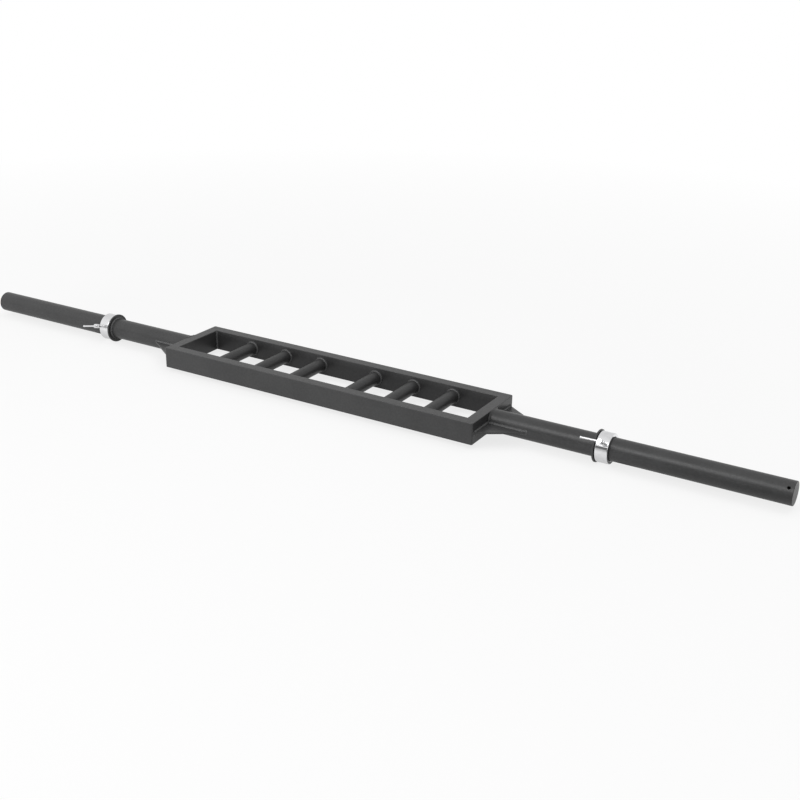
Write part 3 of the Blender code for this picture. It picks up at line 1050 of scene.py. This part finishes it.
@dataclass(frozen=True)
class Gusset(EndPart):
    """A plate that braces a sleeve to the frame, with its two welds."""

    back: bool  # Whether it is behind the sleeve
    thickness: float = 0.004  # The plate's thickness
    length: float = 0.090  # Its length along the sleeve
    corner_margin: float = 0.0095  # Distance of its frame side from the frame's corner
    nose: float = 0.002  # Width of its two blunt tips
    cope: float = 0.0064  # Size of the corner cut off at the sleeve's foot
    sink: float = 0.0003  # How far the plate reaches into the sleeve
    edge: float = 0.0004  # Rounding of the plate's cut edges
    leg: float = 0.0045  # Size of its welds
    cover: float = 0.8  # Most that a weld takes of the plate's width
    weld_foot: float = 0.00064  # Distance of both welds' starts from the sleeve's foot
    start: float = 0.7  # What a weld starts with, as a share of its size
    taper: float = 0.008  # Run over which it would grow from nothing to that size
    seed: float = 51.0  # Choice of the ripples

    @property
    def frame_end(self) -> float:
        """Distance of the plate's outer tip from the sleeve's axis."""
        return -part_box("front_rail")[0].y - self.corner_margin

    @property
    def slope(self) -> float:
        """How fast the plate narrows along the sleeve."""
        return (self.frame_end - self.radius - self.nose) / (self.length - self.nose)

    def build(self) -> list[Object]:
        """Build the plate and its welds.

        Returns:
            The pieces.
        """
        node = f"{self.label}_{'back' if self.back else 'front'}_gusset"
        turned = self.back != (self.side is Side.RIGHT)
        place = self.place(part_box("front_rail")[1].x) @ turn(math.pi if turned else 0.0, "X")
        pieces = [add_piece(node, "plate", placed(self.plate_mesh(), place), BLACK_COAT)]
        bead = WeldBead(pitch=0.0034, ripple=0.20, wander=0.35, crown=0.34)
        seed = self.seed + self.side.value + 3 * self.back
        for form, stations in (("sleeve_bead", self.sleeve_stations), ("frame_bead", self.frame_stations)):
            mesh = placed(bead.mesh(stations(bead), False, seed), place)
            pieces.append(add_piece(node, form, mesh, WELD_HIGHLIGHT_COAT, stands_for=False))
        return pieces

    def plate_mesh(self) -> Mesh:
        """The plate behind the right sleeve, with slightly rounded edges.

        Returns:
            The mesh.
        """
        tip, inner = self.frame_end, self.radius - self.sink
        outline = [(0.0, self.radius + self.cope), (self.cope, inner), (self.length, inner),
                   (self.length, self.radius + self.nose), (self.nose, tip), (0.0, tip)]
        bm = bmesh.new()
        face = bm.faces.new([bm.verts.new((x, y, -self.thickness / 2)) for x, y in outline])
        extruded = bmesh.ops.extrude_face_region(bm, geom=[face])["geom"]
        top = [item for item in extruded if isinstance(item, BMVert)]
        bmesh.ops.translate(bm, verts=top, vec=(0, 0, self.thickness))
        bmesh.ops.bevel(bm, geom=bm.edges[:], offset=self.edge, offset_type="OFFSET", segments=3, profile=0.5,
                        affect="EDGES")
        mesh = finish_mesh("gusset_plate", bm)
        mesh.shade_flat()
        return mesh

    def sleeve_stations(self, bead: WeldBead) -> list[WeldStation]:
        """Stations of the weld on the sleeve: along the top, round the nose and back below.

        Args:
            bead: The weld, for the number of its sections.

        Returns:
            The stations in order.
        """
        half, radius, slope = self.thickness / 2, self.radius, self.slope
        depth = math.sqrt(radius ** 2 - half ** 2)
        angle = math.asin(half / radius) + self.leg / radius
        climb = Vector((0.0, radius * math.cos(angle) - depth, radius * math.sin(angle) - half))

        def section(x: float) -> WeldStation:
            """Full section at a distance along the sleeve."""
            width = self.nose + slope * (self.length - x)
            on_plate = Y_AXIS * min(self.leg, self.cover * width)
            return WeldStation(Vector((x, depth, half)), on_plate, climb)

        return self.wrapped(bead, self.weld_foot, self.length, X_AXIS, section)

    def frame_stations(self, bead: WeldBead) -> list[WeldStation]:
        """Stations of the weld on the frame: along the top, round the outer tip and back below.

        Args:
            bead: The weld, for the number of its sections.

        Returns:
            The stations in order.
        """
        tip, slope = self.frame_end, self.slope

        def section(y: float) -> WeldStation:
            """Full section at a distance from the sleeve's axis."""
            width = self.nose + (tip - y) / slope
            on_plate = X_AXIS * min(self.leg, self.cover * width)
            return WeldStation(Vector((0.0, y, self.thickness / 2)), on_plate, Z_AXIS * self.leg)

        return self.wrapped(bead, self.radius + self.weld_foot, tip, Y_AXIS, section)

    def wrapped(self, bead: WeldBead, start: float, end: float, ahead: Vector,
                section: Callable[[float], WeldStation]) -> list[WeldStation]:
        """Stations along the plate's top, round its tip and back below.

        Args:
            bead: The weld, for the number of its sections.
            start: Where the weld starts.
            end: Where the tip is.
            ahead: Direction from the start to the tip.
            section: The full section at a place between them.

        Returns:
            The stations in order.
        """
        count = bead.count(end - start)
        upper = []
        for index in range(count + 1):
            at = start + (end - start) * index / count
            upper.append(section(at).scaled(min(1.0, self.start + (at - start) / self.taper)))
        tip = upper[-1]
        for index in range(1, bead.face_steps + 1):
            angle = math.pi / 2 * index / bead.face_steps
            swung = tip.second * math.cos(angle) + ahead * self.leg * math.sin(angle)
            upper.append(WeldStation(tip.root, tip.first, swung))
        return upper + [station.mirrored() for station in reversed(upper)]


@cache
def thread_tree() -> NodeTree:
    """Geometry Nodes tree that winds a screw thread round the X axis, beside the mesh that goes in.

    Returns:
        The tree.
    """
    sizes = {"Geometry": "NodeSocketGeometry", "Pitch": 0.00125, "Radius": 0.004, "Start": 0.0,
             "Length": 0.02, "Material": "NodeSocketMaterial"}
    nodes, given, made = new_group("screw_thread", sizes, ("Geometry",), "GeometryNodeTree")
    ridge = nodes.times(given["Pitch"], RIDGE_SHARE)
    radius = nodes.math("SUBTRACT", given["Radius"], ridge)
    turns = nodes.math("DIVIDE", given["Length"], given["Pitch"])
    path = {"Resolution": 28, "Rotations": turns, "Start Radius": radius, "End Radius": radius,
            "Height": given["Length"]}
    spiral = nodes.add("GeometryNodeCurveSpiral", path).outputs[0]
    upright = nodes.add("GeometryNodeSetCurveNormal", {"Curve": spiral}, mode="Z_UP").outputs[0]
    section = nodes.add("GeometryNodeCurvePrimitiveCircle", {"Resolution": 4, "Radius": ridge}).outputs[0]
    wound = {"Curve": upright, "Profile Curve": section, "Fill Caps": True}
    coil = nodes.add("GeometryNodeCurveToMesh", wound).outputs[0]
    start = nodes.add("ShaderNodeCombineXYZ", {"X": given["Start"]}).outputs[0]
    lying = {"Geometry": coil, "Translation": start, "Rotation": (0.0, math.pi / 2, 0.0)}
    laid = nodes.add("GeometryNodeTransform", lying)
    both = nodes.add("GeometryNodeJoinGeometry")
    nodes.feed(both.inputs[0], laid.outputs[0])
    nodes.feed(both.inputs[0], given["Geometry"])
    real = nodes.add("GeometryNodeRealizeInstances", {"Geometry": both.outputs[0]}).outputs[0]
    named = nodes.add("GeometryNodeSetMaterial", {"Geometry": real, "Material": given["Material"]})
    nodes.feed(made["Geometry"], named.outputs[0])
    return nodes.tree


@dataclass(frozen=True)
class ClampCollar(EndPart):
    """A clamp collar with its screw, its pad and the bar that turns the screw."""

    bore_clearance: float = 0.0008  # Gap between the collar and the sleeve
    edge: float = 0.0018  # Rounding of the ring's outer edges
    bore_edge: float = 0.0008  # Chamfer of its bore
    hole_start: float = 0.01  # How far inside the bore the drill for the screw's hole starts
    # Reach of the chamfer round the screw's hole, below the surface and above it
    hole_cone: tuple[float, float] = (0.0006, 0.001)
    stem_radius: float = 0.004  # Radius of the screw
    stem_edge: float = 0.0006  # Chamfer of its foot
    neck_length: float = 0.004  # Length of the plain neck under its head
    thread_pitch: float = 0.00125  # Pitch of the screw's thread
    thread_foot: float = 0.001  # Distance of the thread from the screw's foot
    thread_end: float = 0.0006  # Distance of the thread from the neck
    head_radius: float = 0.00525  # Radius of the screw's head
    head_length: float = 0.0135  # Length of the head
    head_edge: float = 0.0012  # Rounding of the head
    under_edge: float = 0.0007  # Rounding of the head's underside
    bar_radius: float = 0.0019  # Radius of the turning bar
    bar_end_radius: float = 0.0024  # Radius of the bar's upset ends
    bar_end_length: float = 0.0026  # Length of those ends
    bar_end_edge: float = 0.0007  # Rounding of those ends

    def joint(self, name: str) -> dict[str, Any]:
        """One of the collar's joints, by the end of its name."""
        return next(item for item in frame["joints"] if item["name"] == f"{self.label}_{name}")

    def extent(self, part: str, place: Matrix) -> tuple[float, float]:
        """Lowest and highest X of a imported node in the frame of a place.

        Args:
            part: The node's name without its side.
            place: The place.

        Returns:
            Both distances.
        """
        back = place.inverted()
        runs = [(back @ vertex.co).x for vertex in frame["nodes"][f"{self.label}_{part}"].data.vertices]
        return min(runs), max(runs)

    def screw_place(self) -> Matrix:
        """Place with X along the screw's axis, away from the sleeve's axis.

        Returns:
            The matrix.
        """
        out, across = Vector(self.joint("screw_turn")["axis"]), -X_AXIS
        axes = Matrix((out, across, out.cross(across))).transposed().to_4x4()
        return Matrix.Translation(self.joint("screw_turn")["pos_m"]) @ axes

    def bar_place(self, middle: float) -> Matrix:
        """Place on the screw's axis with X along the turning bar.

        Args:
            middle: Distance of the bar from the sleeve's axis.

        Returns:
            The matrix.
        """
        along = -Vector(self.joint("turn_bar_slide")["axis"])
        out = Vector(self.joint("screw_turn")["axis"])
        axes = Matrix((along, out.cross(along), out)).transposed().to_4x4()
        return Matrix.Translation(Vector(self.joint("screw_turn")["pos_m"]) + out * middle) @ axes

    def build(self) -> list[Object]:
        """Build the collar's ring, screw and turning bar, each on its own body, and give the imported pad its
        brass.

        Returns:
            The pieces.
        """
        pad = frame["nodes"][f"{self.label}_clamp_pad"]
        pad.data.materials.clear()
        pad.data.materials.append(BRASS.material())
        return [self.ring(), self.screw(), self.turn_bar(), pad]

    def dress(self, node: str, form: str, mesh: Mesh, body: str) -> Object:
        """Add a chrome piece, by its node and its body without their side."""
        return add_piece(f"{self.label}_{node}", form, mesh, CHROME, f"{self.label}_{body}")

    def ring(self) -> Object:
        """The plated ring with the screw's hole.

        Returns:
            The piece.
        """
        low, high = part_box(f"{self.label}_collar")
        width, radius, edge = high.x - low.x, (high.y - low.y) / 2, self.edge
        bore, chamfer = self.radius + self.bore_clearance, self.bore_edge
        profile = arc(edge, radius - edge, edge, 180, 90) + arc(width - edge, radius - edge, edge, 90, 0)
        profile += [(width, bore + chamfer), (width - chamfer, bore), (chamfer, bore), (0.0, bore + chamfer)]
        ring = placed(revolve("collar_ring", profile, steps=160, closed=True), shift(low.x, z=self.height))
        bit = drill_bit(bore - self.hole_start, radius, self.stem_radius + PLAY, self.hole_cone, steps=64)
        return self.dress("collar", "ring", drilled(ring, placed(bit, self.screw_place())), "collar_body")

    def screw(self) -> Object:
        """The threaded clamp screw with the cross hole in its head.

        Returns:
            The piece.
        """
        place, edge, under = self.screw_place(), self.head_edge, self.under_edge
        foot, top = self.extent("clamp_screw", place)
        base = top - self.head_length
        shank = base - self.neck_length
        core = self.stem_radius - RIDGE_SHARE * self.thread_pitch
        profile = [(foot, 0.0), (foot, core - self.stem_edge), (foot + self.stem_edge, core), (shank, core),
                   (shank, self.stem_radius), (base, self.stem_radius)]
        profile += arc(base + under, self.head_radius - under, under, 180, 90, 5)
        profile += arc(top - edge, self.head_radius - edge, edge, 90, 0)
        body = revolve("screw_body", profile + [(top, 0.0)], steps=64)
        reach = 2 * self.head_radius
        bit = rod("bar_hole", -reach, reach, self.bar_radius + PLAY, steps=40)
        body = drilled(body, placed(bit, place.inverted() @ self.bar_place((base + top) / 2)))
        sizes = {"Pitch": self.thread_pitch, "Radius": self.stem_radius, "Start": foot + self.thread_foot,
                 "Length": shank - foot - self.thread_foot - self.thread_end, "Material": CHROME.material()}
        mesh = placed(modified(body, "NODES", {"node_group": thread_tree()}, sizes), place)
        return self.dress("clamp_screw", "body", mesh, "screw_body")

    def turn_bar(self) -> Object:
        """The sliding bar with its upset ends.

        Returns:
            The piece.
        """
        place = self.bar_place(sum(self.extent("turn_bar", self.screw_place())) / 2)
        near, far = self.extent("turn_bar", place)
        length, thin, edge = self.bar_end_length, self.bar_radius, self.bar_end_edge
        crown = self.bar_end_radius - edge
        profile = [(near, 0.0), *arc(near + edge, crown, edge, 180, 90, 5),
                   *arc(near + length - edge, crown, edge, 90, 45, 3), (near + length, thin),
                   (far - length, thin), *arc(far - length + edge, crown, edge, 135, 90, 3),
                   *arc(far - edge, crown, edge, 90, 0, 5), (far, 0.0)]
        mesh = placed(revolve("turn_bar_rod", profile, steps=48), place)
        return self.dress("turn_bar", "rod", mesh, "turn_bar_body")


def seen_directly(nodes: NodeBuilder) -> NodeSocket:
    """One for rays from the camera, from mirrors and through glass, and zero for light.

    Args:
        nodes: The builder of the tree that needs it.

    Returns:
        The output socket.
    """
    path = nodes.add("ShaderNodeLightPath").outputs
    mirrored = nodes.math("MAXIMUM", path["Is Glossy Ray"], path["Is Transmission Ray"])
    return nodes.math("MAXIMUM", path["Is Camera Ray"], mirrored)


@dataclass(frozen=True)
class Studio:
    """The floor, the surroundings, the lamps and the camera.

    A pair of distances is where a change over the floor starts and where it ends.
    """

    # The camera's place, from the barbell's axis
    camera_place: tuple[float, float, float] = (1.47947, -2.17830, 1.04231)
    # Axis times angle that turns the world to the camera's right, down and forward
    camera_turn: tuple[float, float, float] = (1.903806, 0.540628, -0.338895)
    focal_length: float = 54.84411  # Focal length in millimetres, for a sensor 36 mm wide
    floor_size: float = 40.0  # Half the floor's width
    floor_shade: float = 0.20  # How pale the floor is under the lamps, near the barbell
    floor_glow: float = 0.775  # Its own brightness there, which keeps shadows faint
    # Distances over which the floor blends into the white surroundings
    floor_fade: tuple[float, float] = (0.9, 3.0)
    daylight: float = 0.50  # Strength of the surroundings as a light
    look_ahead: float = 0.95  # Brightness that mirrors show in front
    look_behind: float = 0.76  # Brightness that they show overhead and behind
    # How far ahead a direction points where the look behind ends and the look ahead starts
    look_turn: tuple[float, float] = (-0.2, 0.5)
    # Painted shadow on the floor, seen only in mirrors: in front, by the right end, round each collar's foot
    # and below the barbell
    apron: tuple[float, float] = (0.06, 0.50)  # Distances in front over which the floor darkens in mirrors
    apron_side: tuple[float, float] = (-1.0, 1.0)  # Distances to the right over which that starts
    apron_depth: float = 0.78  # How much darker than white it gets there
    # Distances in front over which painted shadow darkens the floor by the right end in mirrors
    end_apron: tuple[float, float] = (0.01, 0.09)
    end_side: tuple[float, float] = (0.65, 0.95)  # Distances to the right over which that starts
    # Where each collar's painted shadow lies, as its distances from the middle to the side and behind
    foot_place: tuple[float, float] = (0.722, 0.018)
    # Distances from that place over which its painted shadow fades in mirrors
    foot_reach: tuple[float, float] = (0.030, 0.040)
    foot_depth: float = 0.88  # How much darker than white it is there
    # Distances from the middle line over which the painted shadow below fades in mirrors
    shadow_reach: tuple[float, float] = (0.015, 0.13)
    shadow_depth: float = 0.32  # How much darker than white it is there
    band_top: float = 0.36  # Height of the dark band that mirrors show in front, as the sine of its elevation
    band_foot: float = -0.20  # The same of the height at which it has faded
    band_depth: float = 0.92  # How much darker than white the band is at its top
    # How far ahead a direction points where the band starts and where it is full
    band_side: tuple[float, float] = (0.65, 0.92)

    def build(self) -> None:
        """Build the whole studio."""
        self.camera()
        self.floor()
        self.surroundings()
        self.lamps()
        bpy.context.scene.view_settings.view_transform = "Standard"

    def camera(self) -> None:
        """The camera at the photograph's viewing angle."""
        low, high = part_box("left_sleeve")
        data = bpy.data.cameras.new("camera")
        data.sensor_width = 36.0
        data.lens = self.focal_length
        data.clip_end = 4 * self.floor_size
        heading = Vector(self.camera_turn)
        right, down, forward = Matrix.Rotation(heading.length, 3, heading.normalized())
        axes = Matrix((right, -down, -forward)).transposed().to_4x4()
        camera = new_object("camera", data)
        camera.matrix_world = shift(z=(low.z + high.z) / 2) @ shift(*self.camera_place) @ axes
        bpy.context.scene.camera = camera

    def floor(self) -> None:
        """The pale floor, whose own glow keeps shadows faint and shows painted shadow in mirrors."""
        bm = bmesh.new()
        bmesh.ops.create_grid(bm, x_segments=8, y_segments=8, size=self.floor_size)
        mesh = plain_mesh("floor", bm)
        material, nodes, surface = new_material("pale_floor", Roughness=1.0, Specular_IOR_Level=0.0,
                                                Emission_Color=(1.0, 1.0, 1.0, 1.0))
        place = nodes.add("ShaderNodeTexCoord").outputs["Object"]
        distance = nodes.add("ShaderNodeVectorMath", {0: place}, operation="LENGTH").outputs["Value"]
        nodes.feed(surface["Base Color"], nodes.spread(distance, *self.floor_fade, self.floor_shade, 0.0))
        glow = nodes.spread(distance, *self.floor_fade, self.floor_glow, 1.0)
        glossy = nodes.add("ShaderNodeLightPath").outputs["Is Glossy Ray"]
        # Painted shadow, shown only to mirrors
        dark = nodes.times(self.painted_mirror_shadow(nodes, place), glossy)
        strength = nodes.times(seen_directly(nodes), nodes.times(glow, nodes.rest(dark)))
        nodes.feed(surface["Emission Strength"], strength)
        mesh.materials.append(material)
        new_object("floor", mesh)

    def painted_mirror_shadow(self, nodes: NodeBuilder, place: NodeSocket) -> NodeSocket:
        """Painted shadow on the floor that mirrors show, as how much darker than white it is.

        Args:
            nodes: The builder of the floor's material.
            place: The floor's coordinates.

        Returns:
            The output socket.
        """
        sides = nodes.add("ShaderNodeSeparateXYZ", {0: place}).outputs
        ahead = nodes.times(sides["Y"], -1.0)
        in_front = nodes.times(nodes.spread(ahead, *self.apron, 0.0, self.apron_depth),
                               nodes.spread(sides["X"], *self.apron_side))
        by_end = nodes.times(nodes.spread(ahead, *self.end_apron), nodes.spread(sides["X"], *self.end_side))
        aside = nodes.math("SUBTRACT", nodes.math("ABSOLUTE", sides["X"]), self.foot_place[0])
        behind = nodes.math("ADD", ahead, self.foot_place[1])
        offset = nodes.add("ShaderNodeCombineXYZ", {0: aside, 1: behind}).outputs["Vector"]
        spot = nodes.add("ShaderNodeVectorMath", {0: offset}, operation="LENGTH")
        by_foot = nodes.spread(spot.outputs["Value"], *self.foot_reach, self.foot_depth, 0.0)
        below = nodes.spread(nodes.math("ABSOLUTE", ahead), *self.shadow_reach, self.shadow_depth, 0.0)
        painted_shadows = (in_front, by_end, by_foot, below)
        return reduce(lambda dark, other: nodes.math("MAXIMUM", dark, other), painted_shadows)

    def surroundings(self) -> None:
        """Even white surroundings, dimmer as a light than they look, with a dark band in front."""
        world = bpy.data.worlds.new("surroundings")
        world.use_nodes = True
        bpy.context.scene.world = world
        nodes = NodeBuilder(world.node_tree)
        background = world.node_tree.nodes["Background"].inputs
        background["Color"].default_value = (1.0, 1.0, 1.0, 1.0)
        heading = nodes.add("ShaderNodeTexCoord").outputs["Generated"]
        sides = nodes.add("ShaderNodeSeparateXYZ", {0: heading}).outputs
        rise, ahead = sides["Z"], nodes.times(sides["Y"], -1.0)
        below = nodes.spread(rise, self.band_foot, self.band_top, 1.0, 0.0)
        inside = nodes.math("LESS_THAN", rise, self.band_top)
        band = nodes.times(nodes.rest(nodes.times(below, below)), inside, self.band_depth,
                           nodes.spread(ahead, *self.band_side))
        glossy = nodes.add("ShaderNodeLightPath").outputs["Is Glossy Ray"]
        bright = nodes.spread(ahead, *self.look_turn, self.look_behind, self.look_ahead)
        mirrored = nodes.times(bright, nodes.rest(band))
        look = nodes.rest(nodes.times(glossy, nodes.rest(mirrored)))
        strength = nodes.add("ShaderNodeMix", {0: seen_directly(nodes), 2: self.daylight, 3: look})
        nodes.feed(background["Strength"], strength.outputs[0])

    def lamps(self) -> None:
        """A broad lamp high in front, and two that mirrors don't show, overhead and low in front."""
        for name, place, width, depth, power, mirrored in (
                ("high_front_lamp", (-0.53, -2.72, 2.78), 2.4, 1.85, 39.0, True),
                ("overhead_lamp", (0.8, 0.5, 3.9), 3.4, 3.4, 50.0, False),
                ("low_front_lamp", (-1.2, -3.6, 0.24), 3.4, 0.46, 88.0, False)):
            data = bpy.data.lights.new(name, "AREA")
            data.shape = "RECTANGLE"
            data.size = width
            data.size_y = depth
            data.energy = power
            lamp = new_object(name, data)
            lamp.visible_glossy = mirrored
            lamp.location = place
            lamp.rotation_euler = (-Vector(place)).to_track_quat("-Z", "Y").to_euler()


def main() -> None:
    """Build every piece of the barbell and the studio round it."""
    logging.basicConfig(level=logging.INFO, format="%(name)s: %(message)s")
    Studio().build()
    FrameTubes().build()
    for side in Side:
        Sleeve(side).build()
        for back in (False, True):
            Gusset(side, back).build()
        ClampCollar(side).build()


if __name__ == "__main__":
    main()
